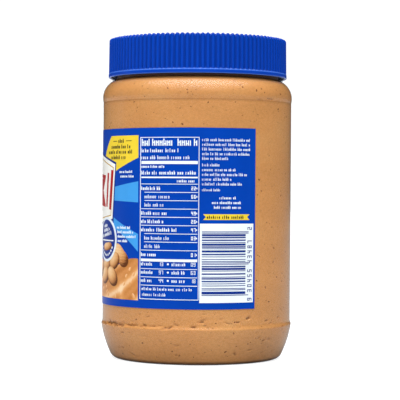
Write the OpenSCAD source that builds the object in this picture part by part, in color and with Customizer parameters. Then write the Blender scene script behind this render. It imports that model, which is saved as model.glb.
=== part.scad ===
// Jar of peanut butter: a clear blown jar, its contents, a ribbed screw cap and a wrap label.
// Millimetres, +Z up. The origin is the middle of the foot, and -Y faces the label's back panel.

/* [Whole] */
// Height from the foot to the top of the cap
total_h = 163.6; // [140:0.1:200]
// Outside diameter of the straight wall that carries the label
body_d = 97; // [80:0.5:120]

/* [Jar wall] */
// Thickness of the blown wall
wall = 0.7; // [0.5:0.1:1]
// Radius of the round shoulder
shoulder_r = 9.8; // [8.5:0.1:12]
// How far the shoulder's widest ring stands out from the straight wall
shoulder_bulge = 0.3; // [0.1:0.1:0.6]
// How far the shoulder steps in from the straight wall to the neck
shoulder_in = 5.4; // [4.5:0.1:6]
// Radius of the hollow crease between shoulder and wall
crease_r = 1.5; // [1:0.1:3]

/* [Jar foot] */
// Height of the ledge's widest ring above the foot
ledge_h = 17.8; // [14:0.1:22]
// How far the ledge stands out from the straight wall
ledge_bulge = 0.54; // [0.2:0.02:0.8]
// Radius of the ledge's round edge
ledge_r = 1.5; // [1.2:0.1:2.5]
// Radius of the hollow between ledge and wall
ledge_fillet_r = 4; // [3:0.1:6]
// Radius of the curve in which the heel runs down from the ledge
heel_r = 54; // [45:1:70]
// Lean of the heel just under the ledge, in degrees from upright
heel_lean = 9; // [7:0.5:11]
// Radius of the round edge of the foot
foot_r = 4.5; // [3.5:0.1:5.5]
// Width of the flat ring on which the jar stands
foot_w = 2.5; // [1.5:0.1:4]
// Width of the slope between the standing ring and the pushed-up base
riser_w = 1.8; // [1:0.1:3]
// Height of the pushed-up base at its rim
riser_h = 1.5; // [1:0.1:2.5]
// Height of the pushed-up base at its middle
dome_h = 5.5; // [3:0.1:8]
// Thickness of the base
base_t = 1.2; // [0.8:0.1:2]

/* [Neck] */
// Thickness of the moulded neck
neck_wall = 1.6; // [1.2:0.1:1.8]
// Radius of the rounded rim edges
rim_r = 0.4; // [0.2:0.1:0.5]
// Height of the ring by which the jar is carried while it is made
bead_h = 0.9; // [0.6:0.1:1.4]
// How far that ring stands out from the neck
bead_out = 1.1; // [0.6:0.1:1.2]
// Height of each slope of that ring
bead_slope = 0.3; // [0.2:0.1:0.4]
// Rise of the screw thread in one turn
thread_pitch = 5; // [4:0.1:5.5]
// Number of turns of the screw thread
thread_turns = 1.1; // [0.8:0.05:1.15]
// How far the jar's thread stands out from the neck
thread_out = 1.2; // [0.8:0.1:1.3]
// Thickness of a thread ridge at its foot
thread_t = 2; // [1.4:0.1:2.2]
// Distance from the rim to the middle of the jar's thread at its upper end
thread_drop = 3.6; // [3:0.1:4]

/* [Contents] */
// Free height between the contents and the rim
fill_gap = 4.7; // [3:0.1:12]

/* [Cap] */
// Height of the cap
cap_h = 19.3; // [18:0.1:24]
// Thickness of the cap's roof
roof_t = 1.2; // [1:0.1:2]
// Thickness of the cap's skirt at its plain bottom band
skirt_t = 1.4; // [1.3:0.1:2]
// Free play between the jar's thread and the cap's skirt
cap_play = 0.3; // [0.2:0.05:0.5]
// Free height between the carrying ring and the cap's lower edge
skirt_gap = 0.3; // [0.2:0.05:3]
// Number of grip ribs
rib_count = 112; // [60:1:140]
// Depth of the grooves between the ribs
rib_depth = 0.45; // [0.3:0.05:0.5]
// Share of each rib's pitch that its crest takes, measured at the plain band's radius
rib_crest = 0.4; // [0.2:0.05:0.5]
// Share of each rib's pitch that the flat floor of the groove takes
rib_floor = 0.25; // [0.1:0.05:0.4]
// Height of the plain band under the ribs
band_h = 2.1; // [1.2:0.1:4]
// Height of the smooth ring between the plain band and the grooves
groove_lift = 0.3; // [0.2:0.1:1]
// How far the ribs' crests lie behind the plain band at their foot
band_step = 0.1; // [0.05:0.05:0.2]
// How far the skirt narrows from its foot to the roof
cap_draft = 0.2; // [0:0.05:0.3]
// Height by which the ribs' tips stand above the roof
tip_h = 0.5; // [0.3:0.1:0.8]
// Radius of the tips' outer edge
tip_edge_r = 0.2; // [0.1:0.05:0.2]

/* [Label] */
// Thickness of the label
label_t = 0.15; // [0.1:0.05:0.3]
// Bare height of wall between the label and the crease under the shoulder
label_top_gap = 14.2; // [4:0.1:20]
// Bare height of wall between the ledge's hollow and the label
label_bottom_gap = 7.9; // [3:0.1:14]
// Angle from the middle of the back panel to the label's right-hand end
label_end = 36.4; // [20:0.1:60]
// Angle that the label covers
label_span = 296; // [240:1:340]

/* [Hidden] */
// Facets of a full circle
$fn = 180;
// Length that a cut runs past the face it leaves
cut = 1;
// Largest gap between an arc and the straight lines that stand for it
arc_gap = 0.02;
// Number of steps in which a thread climbs one turn
thread_steps = 20;
// Turn by which each step of a thread reaches into the next, in degrees
thread_lap = 1;
// Gap in plan between the grooves' floors and the inner faces of the ribs' tips
tip_gap = 0.05;
// Depth by which a thread's foot is sunk into its wall, which joins the two
thread_root = 0.3;
// Share of a thread's foot thickness that its crest keeps
thread_crest = 0.5;

wall_r = body_d / 2;
neck_r = wall_r - shoulder_in;
bore_r = neck_r - neck_wall;
roof_z = total_h - tip_h;
rim_z = roof_z - roof_t;
cap_z = total_h - cap_h;
neck_z = cap_z - skirt_gap - bead_h - 2 * bead_slope;

// Middle of the shoulder's arc, and the angles at which it meets the neck and the crease
shoulder_x = wall_r + shoulder_bulge - shoulder_r;
shoulder_a = acos((neck_r - shoulder_x) / shoulder_r);
shoulder_z = neck_z - shoulder_r * sin(shoulder_a);
crease_a = acos((wall_r + crease_r - shoulder_x) / (shoulder_r + crease_r));
crease_z = shoulder_z - (shoulder_r + crease_r) * sin(crease_a);

// Middle of the ledge's round edge, and the angle at which the hollow above it starts
ledge_x = wall_r + ledge_bulge - ledge_r;
ledge_a = acos((wall_r + ledge_fillet_r - ledge_x) / (ledge_r + ledge_fillet_r));
ledge_top_z = ledge_h + (ledge_r + ledge_fillet_r) * sin(ledge_a);

// Middle of the heel's arc, and the angle at which it meets the round edge of the foot
heel_x = ledge_x - (heel_r - ledge_r) * cos(heel_lean);
heel_z = ledge_h + (heel_r - ledge_r) * sin(heel_lean);
foot_a = asin((heel_z - foot_r) / (heel_r - foot_r));
foot_x = heel_x + (heel_r - foot_r) * cos(foot_a);
ring_x = foot_x - foot_w;
riser_x = ring_x - riser_w;

// Sphere of the pushed-up base: its radius from its width and its rise
dome_rise = dome_h - riser_h;
dome_r = (riser_x * riser_x + dome_rise * dome_rise) / (2 * dome_rise);
dome_z = dome_h - dome_r;

thread_r = neck_r + thread_out;
skirt_r = thread_r + cap_play;
band_r = skirt_r + skirt_t;
crest_r = band_r - band_step;
groove_r = crest_r - cap_draft - rib_depth;
tip_r = groove_r + tip_gap;
thread_top = rim_z - thread_drop;

label_z = ledge_top_z + label_bottom_gap;
label_h = crease_z - label_top_gap - label_z;

// Points of an arc about c from angle a0 to a1, without its first point when skip is 1
function arc(c, r, a0, a1, skip = 0) =
    let (n = ceil(abs(a1 - a0) / (2 * acos(1 - arc_gap / r))))
    [for (i = [skip:n]) let (a = a0 + (a1 - a0) * i / n) c + r * [cos(a), sin(a)]];

// Half outline of the jar from the foot up to the neck, moved inwards by t
function side(t) = concat(
    arc([foot_x, foot_r], foot_r - t, -90, -foot_a),
    arc([heel_x, heel_z], heel_r - t, -foot_a, -heel_lean, 1),
    arc([ledge_x, ledge_h], ledge_r - t, -heel_lean, ledge_a, 1),
    arc([wall_r + ledge_fillet_r, ledge_top_z], ledge_fillet_r + t, 180 + ledge_a, 180, 1),
    arc([wall_r + crease_r, crease_z], crease_r + t, 180, 180 - crease_a),
    arc([shoulder_x, shoulder_z], shoulder_r - t, -crease_a, neck_angle(t), 1)
);

// Angle at which the shoulder moved inwards by t meets the neck's outside (0) or its bore
function neck_angle(t) = acos(((t > 0 ? bore_r : neck_r) - shoulder_x) / (shoulder_r - t));

// Half outline of the base from the middle out to the standing ring, raised by the base's thickness
function base(up, floor_up) = concat(
    arc([0, dome_z], dome_r + up, 90, acos(riser_x / (dome_r + up))),
    [[ring_x, floor_up]]
);

// Outline of the space inside the jar up to the height z of its bore
function inside(z) = concat(base(base_t, wall), side(wall), [[bore_r, z]]);

// Outline of the jar's outer face up to the rim, with the carrying ring on the neck
function outside() = concat(
    base(0, 0),
    side(0),
    [
        [neck_r + bead_out, neck_z + bead_slope],
        [neck_r + bead_out, neck_z + bead_slope + bead_h],
        [neck_r, neck_z + 2 * bead_slope + bead_h],
    ],
    arc([neck_r - rim_r, rim_z - rim_r], rim_r, 0, 90)
);

function reversed(list) = [for (i = [len(list) - 1:-1:0]) list[i]];

// A right-handed ridge that climbs a wall of radius r in short steps and ends at height z.
// It stands out by out, or inwards when out is negative
module thread(r, out, z) {
    steps = round(thread_turns * thread_steps);
    turn = 360 / thread_steps;
    foot = thread_t / 2;
    crest = foot * thread_crest;
    root = out > 0 ? r - thread_root : r + thread_root;
    for (i = [0:steps - 1])
        translate([0, 0, z - thread_pitch * i / thread_steps])
            rotate([0, 0, -i * turn])
                rotate_extrude(angle = turn + thread_lap)
                    polygon([[root, -foot], [r + out, -crest], [r + out, crest], [root, foot]]);
}

module jar() {
    color([0.86, 0.88, 0.88, 0.35]) {
        rotate_extrude()
            polygon(concat(
                outside(),
                arc([bore_r + rim_r, rim_z - rim_r], rim_r, 90, 180),
                reversed(concat(base(base_t, wall), side(wall)))
            ));
        thread(neck_r, thread_out, thread_top);
    }
}

module peanut_butter() {
    color([0.80, 0.56, 0.33])
        rotate_extrude()
            polygon(concat([[0, rim_z - fill_gap]], inside(rim_z - fill_gap)));
}

// Outline of the grip seen from above: each rib has a flat crest and a slope down to each groove's floor
function grip_outline() =
    let (
        pitch = 360 / rib_count,
        crest = rib_crest / 2,
        floor_start = 0.5 - rib_floor / 2,
        wide = crest_r + cut,
        half_rib = [[crest, wide], [crest, band_r], [floor_start, groove_r]],
        rib = concat([for (p = reversed(half_rib)) [-p.x, p.y]], half_rib)
    )
    [for (i = [0:rib_count - 1], p = rib) p.y * [cos(pitch * (i + p.x)), sin(pitch * (i + p.x))]];

module cap_shell() {
    rotate_extrude()
        polygon(concat(
            [[skirt_r, cap_z], [band_r, cap_z], [band_r, cap_z + band_h], [crest_r, cap_z + band_h]],
            arc([crest_r - cap_draft - tip_edge_r, total_h - tip_edge_r], tip_edge_r, 0, 90),
            [[tip_r, total_h], [tip_r, roof_z], [0, roof_z], [0, rim_z], [skirt_r, rim_z]]
        ));
}

module cap() {
    color([0.02, 0.27, 0.72]) {
        difference() {
            cap_shell();
            translate([0, 0, cap_z + band_h + groove_lift])
                linear_extrude(cap_h)
                    difference() {
                        circle(band_r + 2 * cut);
                        polygon(grip_outline());
                    }
        }
        thread(skirt_r, -(thread_out + cap_play / 2), thread_top - thread_pitch / 2);
    }
}

module label() {
    color([0.02, 0.26, 0.72])
        rotate([0, 0, label_end - 90 - label_span])
            rotate_extrude(angle = label_span)
                translate([wall_r, label_z])
                    square([label_t, label_h]);
}

jar();
peanut_butter();
cap();
label();
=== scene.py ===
# %% [markdown]
# # A closed jar of peanut butter
# A jar like this one is four things: a thin clear shell, the spread that fills it, a ribbed screw cap and
# a printed sheet wrapped round the wall. Each is worked out here as a surface: a function of two numbers,
# one along a profile and one round the axis, computed as whole arrays. Nothing is sculpted by hand, so
# every curve can be read as a radius and an angle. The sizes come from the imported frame.

# %% The frame and its boxes
import math

import bpy
import numpy as np
from mathutils import Matrix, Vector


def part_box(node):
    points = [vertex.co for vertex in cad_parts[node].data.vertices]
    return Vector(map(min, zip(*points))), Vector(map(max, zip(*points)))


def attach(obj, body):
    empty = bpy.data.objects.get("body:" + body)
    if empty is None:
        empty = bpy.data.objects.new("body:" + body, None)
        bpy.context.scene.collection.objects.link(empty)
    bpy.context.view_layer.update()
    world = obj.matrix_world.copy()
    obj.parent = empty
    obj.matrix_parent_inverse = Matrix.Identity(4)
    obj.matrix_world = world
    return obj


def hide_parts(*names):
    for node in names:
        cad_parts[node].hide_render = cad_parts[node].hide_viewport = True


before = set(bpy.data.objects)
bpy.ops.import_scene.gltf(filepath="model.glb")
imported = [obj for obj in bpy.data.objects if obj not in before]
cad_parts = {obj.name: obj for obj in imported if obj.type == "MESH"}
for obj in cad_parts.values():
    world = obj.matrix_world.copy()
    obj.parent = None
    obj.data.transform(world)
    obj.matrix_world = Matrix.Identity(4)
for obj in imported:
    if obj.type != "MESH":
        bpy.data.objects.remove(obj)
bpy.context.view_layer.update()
mm = 0.001
rim_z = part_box("jar")[1][2]
cap_low, cap_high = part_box("cap")
cap_z, top_z = cap_low[2], cap_high[2]
level_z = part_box("peanut_butter")[1][2]
print("jar up to", round(rim_z / mm, 1), "cap from", round(cap_z / mm, 1), "to", round(top_z / mm, 1))
print("spread up to", round(level_z / mm, 1))

# %% [markdown]
# The label's ends can't be read from its box, because the sheet runs most of the way round. Its points
# can: sorted by their angle round the axis, they leave one wide gap, and the gap's two sides are the ends.
# The nearest and furthest points from the axis are the sheet's two faces.

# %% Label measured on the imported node
label_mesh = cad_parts["label"].data
label_points = np.empty(3 * len(label_mesh.vertices))
label_mesh.vertices.foreach_get("co", label_points)
label_points = label_points.reshape(-1, 3)
label_reach = np.hypot(label_points[:, 0], label_points[:, 1])
wall_r, label_r = label_reach.min(), label_reach.max()
turns = np.unique(np.arctan2(label_points[:, 0], -label_points[:, 1]))
widest = np.argmax(np.diff(turns))
label_right = turns[widest] * label_r
label_left = (turns[widest + 1] - 2 * math.pi) * label_r
label_z, label_top = label_points[:, 2].min(), label_points[:, 2].max()
print("wall radius", round(wall_r / mm, 2), "label from height", round(label_z / mm, 1))
print("label from", round(label_left / mm, 1), "to", round(label_right / mm, 1), "along the wall")

# %% [markdown]
# ## Making meshes from arrays
# A few builders cover every piece. The first turns arrays of corners and faces into a mesh. The next two
# take rings of points, one row per ring, and close them round the axis and at both poles. Slab makes a
# thin closed body between a front grid and a back grid, which is what a patch of ink is.

# %% Mesh builders
def new_piece(name, corners, quads, triangles, material, uv=None, sharp=40):
    """A mesh object from arrays. Shading is smooth, except over edges that bend by more than sharp."""
    mesh = bpy.data.meshes.new(name)
    corner_list = np.concatenate([quads.ravel(), triangles.ravel()]).astype(np.int32)
    sizes = np.concatenate([np.full(len(quads), 4), np.full(len(triangles), 3)])
    mesh.vertices.add(len(corners))
    mesh.vertices.foreach_set("co", np.ascontiguousarray(corners, dtype=np.float32).ravel())
    mesh.loops.add(len(corner_list))
    mesh.loops.foreach_set("vertex_index", corner_list)
    mesh.polygons.add(len(sizes))
    mesh.polygons.foreach_set("loop_start", (np.cumsum(sizes) - sizes).astype(np.int32))
    mesh.update(calc_edges=True)
    mesh.validate()
    mesh.shade_smooth()
    mesh.set_sharp_from_angle(angle=math.radians(sharp))
    if uv is not None:
        mesh.uv_layers.new(name="UVMap").data.foreach_set("uv", uv[corner_list].astype(np.float32).ravel())
    mesh.materials.append(material)
    piece = bpy.data.objects.new(name, mesh)
    bpy.context.scene.collection.objects.link(piece)
    return piece


def ring_faces(rows, columns):
    """Faces of rows of rings: point (i, j) joins (i, j + 1), (i + 1, j + 1) and (i + 1, j), and j wraps
    round. The first and last row are single points, so fans of triangles close them."""
    ring = 1 + np.arange(rows - 2)[:, None] * columns + np.arange(columns)[None, :]
    ahead = np.roll(ring, -1, axis=1)
    quads = np.stack([ring[:-1], ahead[:-1], ahead[1:], ring[1:]], axis=-1).reshape(-1, 4)
    last = 1 + (rows - 2) * columns
    first_fan = np.stack([np.zeros(columns, int), ahead[0], ring[0]], axis=-1)
    last_fan = np.stack([np.full(columns, last), ring[-1], ahead[-1]], axis=-1)
    return quads, np.concatenate([first_fan, last_fan])


def ring_corners(points):
    """The corners that ring_faces counts: one for the first row, all of the middle rows, one for the last."""
    return np.concatenate([points[0, :1], points[1:-1].reshape(-1, points.shape[2]), points[-1, :1]])


def slab(front, back):
    """Corners and faces of a closed body between two grids of rows x columns points. The back's faces are
    turned round, and a strip along the border, taken counter-clockwise, joins the two."""
    rows, columns = front.shape[:2]
    index = np.arange(rows * columns).reshape(rows, columns)
    face = np.stack([index[:-1, :-1], index[:-1, 1:], index[1:, 1:], index[1:, :-1]], axis=-1).reshape(-1, 4)
    border = np.concatenate([index[0, :-1], index[:-1, -1], index[-1, :0:-1], index[:0:-1, 0]])
    after = np.roll(border, -1)
    behind = rows * columns
    strip = np.stack([border + behind, after + behind, after, border], axis=-1)
    corners = np.concatenate([front.reshape(-1, 3), back.reshape(-1, 3)])
    return corners, np.concatenate([face, face[:, ::-1] + behind, strip])


def keep_numbers(piece, name, values):
    """Keeps one number for each corner on the piece, where a finish can read it by name."""
    attribute = piece.data.attributes.new(name, "FLOAT", "POINT")
    attribute.data.foreach_set("value", values.astype(np.float32))


no_quads, no_triangles = np.empty((0, 4), int), np.empty((0, 3), int)
print("mesh builders ready")

# %% [markdown]
# A turned piece starts as a profile: a row of points (radius, height) from the axis, out and back to it.
# The jar's and the cap's profiles are straight lines and arcs, so one function gives each kind, another
# joins them, and a last one carries the result round the axis.

# %% Profile builders
def arc(centre, radius, start, end, gap=0.01 * mm):
    """Points centre + radius (cos a, sin a) while a goes from start to end degrees, in steps so short that
    no straight piece lies further than gap from the circle."""
    steps = max(2, math.ceil(abs(end - start) / math.degrees(2 * math.acos(1 - gap / radius))))
    a = np.radians(np.linspace(start, end, steps + 1))
    return np.column_stack([centre[0] + radius * np.cos(a), centre[1] + radius * np.sin(a)])


def line(start, end, steps):
    """Points start + t (end - start), for steps equal steps of t from 0 to 1."""
    return np.linspace(start, end, steps + 1)


def chain(*stretches):
    """One profile from stretches that follow on, without the points that repeat where two meet."""
    points = np.concatenate([np.atleast_2d(s) for s in stretches])
    step = np.hypot(*np.diff(points, axis=0).T)
    return points[np.concatenate([[True], step > 0.001 * mm])]


def turned(profile, columns):
    """The profile (r, z) carried round the axis: (r cos a, r sin a, z) for columns equal steps of a."""
    a = np.linspace(0, 2 * math.pi, columns, endpoint=False)
    radius = profile[:, 0][:, None]
    height = np.repeat(profile[:, 1][:, None], columns, axis=1)
    return np.stack([radius * np.cos(a), radius * np.sin(a), height], axis=-1)


print("profile builders ready")

# %% [markdown]
# ## Finishes
# Each finish is a procedural material on the standard shader. Numbers that hold all over the surface are
# set on the shader's own sockets. What varies, such as mottled colour or fine bumps, comes from noise in
# object coordinates, so it stays on the piece when the camera moves. A few small helpers keep it short.

# %% Material helpers
def finish(name, **values):
    """A material on the standard shader with constant socket values, written with _ for each space."""
    material = bpy.data.materials.new(name)
    material.use_nodes = True
    shader = material.node_tree.nodes["Principled BSDF"]
    for socket, value in values.items():
        shader.inputs[socket.replace("_", " ")].default_value = value
    return material, shader


def add(material, kind, settings=None, **values):
    """A node of that kind: settings are its own choices, and values go to its input sockets."""
    node = material.node_tree.nodes.new("ShaderNode" + kind)
    for key, value in (settings or {}).items():
        setattr(node, key, value)
    for socket, value in values.items():
        node.inputs[socket.replace("_", " ")].default_value = value
    return node


def wire(material, *pairs):
    """Links each (output, input) pair."""
    for output, socket in pairs:
        material.node_tree.links.new(output, socket)


print("material helpers ready")


# %% Mottling, colour and relief
def noise(material, scale, detail=3.0, stretch=(1, 1, 1)):
    """Smooth noise on the piece's own coordinates, scale features to the metre, stretched on each axis."""
    place = add(material, "TexCoord")
    mapping = add(material, "Mapping", Scale=stretch)
    texture = add(material, "TexNoise", Scale=scale, Detail=detail)
    wire(
        material,
        (place.outputs["Object"], mapping.inputs["Vector"]),
        (mapping.outputs[0], texture.inputs["Vector"]),
    )
    return texture.outputs["Fac"]


def ramp(material, factor, *stops):
    """Colour that goes from stop to stop, each (position, colour), as factor goes from 0 to 1."""
    node = add(material, "ValToRGB")
    points = node.color_ramp.elements
    while len(points) < len(stops):
        points.new(0.5)
    for point, (position, colour) in zip(points, stops):
        point.position = position
        point.color = (*colour, 1)
    wire(material, (factor, node.inputs["Fac"]))
    return node.outputs["Color"]


def bump(material, shader, height, strength, distance):
    """Fine relief: height moves the surface's normal as if it stood out by distance."""
    node = add(material, "Bump", Strength=strength, Distance=distance)
    wire(material, (height, node.inputs["Height"]), (node.outputs[0], shader.inputs["Normal"]))


def tinted(colour, factor):
    """The colour made lighter or darker, and no brighter than 1."""
    return tuple(min(1.0, c * factor) for c in colour)


# A colour Mix node also has sockets for numbers and vectors, so its colours are found by their place.
MIX_A, MIX_B, MIX_RESULT = 6, 7, 2


def mix_towards(material, colour):
    """A mix of whatever comes in at MIX_A with one even colour."""
    node = add(material, "Mix", {"data_type": "RGBA"})
    node.inputs[MIX_B].default_value = (*colour, 1)
    return node


print("colour helpers ready")

# %% [markdown]
# ## The clear wall
# The wall is a blown plastic shell, less than a millimetre thick, so it hardly bends the view of what is
# behind it. What one sees of it is its gloss: a faint reflection face on that grows strong at the edges.
# A see-through shader mixed with a mirror by the Fresnel share does that, and lets the lamps light the
# spread inside. Faces seen from behind get no mirror, because light that isn't bent would be thrown back
# there in a way real plastic doesn't.

# %% Clear plastic finish
clear_plastic = bpy.data.materials.new("clear_plastic")
clear_plastic.use_nodes = True
clear_plastic.node_tree.nodes.remove(clear_plastic.node_tree.nodes["Principled BSDF"])
see_through = add(clear_plastic, "BsdfTransparent", Color=(0.975, 0.98, 0.98, 1))
mirror = add(clear_plastic, "BsdfGlossy", Color=(0.50, 0.52, 0.54, 1), Roughness=0.22)
fresnel = add(clear_plastic, "Fresnel", IOR=1.5)
side = add(clear_plastic, "NewGeometry")
front_only = add(clear_plastic, "Math", {"operation": "SUBTRACT", "use_clamp": True})
wall_mix = add(clear_plastic, "MixShader")
wave_bump = add(clear_plastic, "Bump", Strength=0.25, Distance=0.2 * mm)
wire(
    clear_plastic,
    (fresnel.outputs[0], front_only.inputs[0]),
    (side.outputs["Backfacing"], front_only.inputs[1]),
    (front_only.outputs[0], wall_mix.inputs["Fac"]),
    (see_through.outputs[0], wall_mix.inputs[1]),
    (mirror.outputs[0], wall_mix.inputs[2]),
    (noise(clear_plastic, 60, 1.0, (1, 1, 0.4)), wave_bump.inputs["Height"]),
    (wave_bump.outputs[0], mirror.inputs["Normal"]),
    (wall_mix.outputs[0], clear_plastic.node_tree.nodes["Material Output"].inputs["Surface"]),
)
print("clear plastic")

# %% [markdown]
# ## The jar's outline
# Seen from the side, the jar is a string of arcs that run into each other without a corner: the round edge
# of the foot, the long curve of the heel, the small lip of the ledge, the hollow above it, the straight
# wall, the hollow crease and the shoulder. Moving every arc's radius in by the wall's thickness gives the
# inside, so one function draws both faces.

# %% Sizes of the outline
wall_t = 0.7 * mm
shoulder_r, shoulder_bulge, shoulder_in, crease_r = 9.8 * mm, 0.3 * mm, 5.4 * mm, 1.5 * mm
ledge_h, ledge_bulge, ledge_r, ledge_fillet_r = 17.8 * mm, 0.54 * mm, 1.5 * mm, 4.0 * mm
heel_r, heel_lean, foot_r, foot_w = 54 * mm, 9.0, 4.5 * mm, 2.5 * mm
riser_w, riser_h, dome_h, base_t = 1.8 * mm, 1.5 * mm, 5.5 * mm, 1.2 * mm
neck_wall, rim_r = 1.6 * mm, 0.4 * mm
bead_h, bead_out, bead_slope, skirt_gap = 0.9 * mm, 1.1 * mm, 0.3 * mm, 0.3 * mm
neck_r = wall_r - shoulder_in
bore_r = neck_r - neck_wall
neck_z = cap_z - skirt_gap - bead_h - 2 * bead_slope


def angle(cosine):
    """The angle in degrees whose cosine this is."""
    return math.degrees(math.acos(cosine))


shoulder_x = wall_r + shoulder_bulge - shoulder_r
shoulder_z = neck_z - shoulder_r * math.sin(math.acos((neck_r - shoulder_x) / shoulder_r))
crease_a = angle((wall_r + crease_r - shoulder_x) / (shoulder_r + crease_r))
crease_z = shoulder_z - (shoulder_r + crease_r) * math.sin(math.radians(crease_a))
ledge_x = wall_r + ledge_bulge - ledge_r
ledge_a = angle((wall_r + ledge_fillet_r - ledge_x) / (ledge_r + ledge_fillet_r))
ledge_top_z = ledge_h + (ledge_r + ledge_fillet_r) * math.sin(math.radians(ledge_a))
heel_x = ledge_x - (heel_r - ledge_r) * math.cos(math.radians(heel_lean))
heel_z = ledge_h + (heel_r - ledge_r) * math.sin(math.radians(heel_lean))
foot_a = math.degrees(math.asin((heel_z - foot_r) / (heel_r - foot_r)))
foot_x = heel_x + (heel_r - foot_r) * math.cos(math.radians(foot_a))
ring_x, riser_x = foot_x - foot_w, foot_x - foot_w - riser_w
dome_rise = dome_h - riser_h
dome_r = (riser_x ** 2 + dome_rise ** 2) / (2 * dome_rise)
print("foot radius", round(foot_x / mm, 2), "ledge up to", round(ledge_top_z / mm, 2))
print("crease at", round(crease_z / mm, 2))


# %% The outline as a function of how deep it lies in the wall
def wall_side(depth, wall_steps=24):
    """Profile from the foot up to the neck, moved in by depth: each arc keeps its centre, outward arcs lose
    depth from their radius and hollow arcs gain it."""
    neck = neck_r if depth <= 0 else bore_r
    neck_a = angle((neck - shoulder_x) / (shoulder_r - depth))
    return chain(
        arc((foot_x, foot_r), foot_r - depth, -90, -foot_a),
        arc((heel_x, heel_z), heel_r - depth, -foot_a, -heel_lean),
        arc((ledge_x, ledge_h), ledge_r - depth, -heel_lean, ledge_a),
        arc((wall_r + ledge_fillet_r, ledge_top_z), ledge_fillet_r + depth, 180 + ledge_a, 180),
        line((wall_r - depth, ledge_top_z), (wall_r - depth, crease_z), wall_steps),
        arc((wall_r + crease_r, crease_z), crease_r + depth, 180, 180 - crease_a),
        arc((shoulder_x, shoulder_z), shoulder_r - depth, -crease_a, neck_a),
    )


def base_side(raised, floor):
    """Profile of the pushed-up base from the axis out to the standing ring, raised by the base's thickness:
    a shallow dome, then the slope down to the ring at height floor."""
    dome = arc((0, dome_h - dome_r), dome_r + raised, 90, angle(riser_x / (dome_r + raised)))
    return chain(dome, line(dome[-1], (ring_x, floor), 4))


shell_profile = chain(
    base_side(0, 0),
    line((ring_x, 0), (foot_x, 0), 3),
    wall_side(0),
    [
        (neck_r + bead_out, neck_z + bead_slope),
        (neck_r + bead_out, neck_z + bead_slope + bead_h),
        (neck_r, neck_z + 2 * bead_slope + bead_h),
    ],
    arc((neck_r - rim_r, rim_z - rim_r), rim_r, 0, 90),
    arc((bore_r + rim_r, rim_z - rim_r), rim_r, 90, 180),
    wall_side(wall_t)[::-1],
    base_side(base_t, wall_t)[::-1],
)
print("shell profile has", len(shell_profile), "points")

# %% [markdown]
# The shell is that profile carried round the axis. Under a blown jar's foot there is a ring of short
# radial notches that keep it from sliding on a wet line, and a small nub at the middle where the plastic
# was injected. Both are added as functions of the angle and the radius, only on the outer base.

# %% Clear shell
shell_columns = 512
notch_count, notch_depth = 64, 0.18 * mm
nub_r, nub_h = 2.2 * mm, 0.9 * mm
shell = turned(shell_profile, shell_columns)
shell_turn = np.linspace(0, 2 * math.pi, shell_columns, endpoint=False)
outer_rows = np.arange(len(shell_profile)) < len(base_side(0, 0)) + 4
on_ring = outer_rows & (shell_profile[:, 0] > ring_x - 0.1 * mm) & (shell_profile[:, 0] < foot_x - 0.1 * mm)
shell[on_ring, :, 2] += notch_depth * (np.cos(notch_count * shell_turn) > 0.3)
under_nub = outer_rows & (shell_profile[:, 0] < nub_r)
shell[under_nub, :, 2] -= nub_h * (1 - (shell_profile[under_nub, 0] / nub_r) ** 2)[:, None]
shell_quads, shell_fans = ring_faces(*shell.shape[:2])
jar_shell = new_piece("jar_shell", ring_corners(shell), shell_quads, shell_fans, clear_plastic, sharp=35)
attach(jar_shell, "root")
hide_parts("jar")
print("jar_shell", len(jar_shell.data.polygons), "faces")

# %% [markdown]
# ## The spread
# Smooth peanut butter is pressed against the wall, so it shows the wall's own shape. To leave no air gap
# its surface runs a little way inside the plastic. Where air was trapped it draws back: small crescents
# in the lower part and near the shoulder, and a ragged row of pockets along the ledge, where the spread
# didn't quite fill the corner. Each pocket is a bent ditch: deepest on a short curve, fading away from it.
# The sum of all ditches is taken off the radius.

# %% Spread profile and its rows
embed = 0.55 * mm
crease_line_z = crease_z - 0.3 * mm
spread_columns = 460


def rows_between(profile, step):
    """The profile with points added so that no two are further apart than step(radius, height)."""
    pieces = []
    for a, b in zip(profile[:-1], profile[1:]):
        count = max(1, math.ceil(np.hypot(*(b - a)) / step(*((a + b) / 2))))
        pieces.append(a + (b - a) * np.arange(count)[:, None] / count)
    return np.concatenate([*pieces, profile[-1:]])


def row_step(radius, height):
    """Coarse rows under the base, in the neck, on top and behind the label. Where the spread shows, the rows
    are fine below the label, where the pockets crowd, finest at the crease, and middling at the shoulder."""
    coarse, middling, fine, finest = 3.0 * mm, 0.8 * mm, 0.5 * mm, 0.2 * mm
    if radius < foot_x or height > neck_z or height < foot_r / 2:
        return coarse
    if height < label_z:
        return fine
    if abs(height - crease_line_z) < 1.2 * mm:
        return finest
    return coarse if height < label_top else middling


level_edge_r, level_edge_h = bore_r - 0.6 * mm, 1.2 * mm
spread_profile = chain(
    base_side(base_t - embed, wall_t - embed),
    wall_side(wall_t - embed),
    [(bore_r + embed, level_z - level_edge_h), (level_edge_r, level_z)],
    [(0, level_z)],
)
spread_profile = rows_between(spread_profile, row_step)
print("spread profile has", len(spread_profile), "points")


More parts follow.
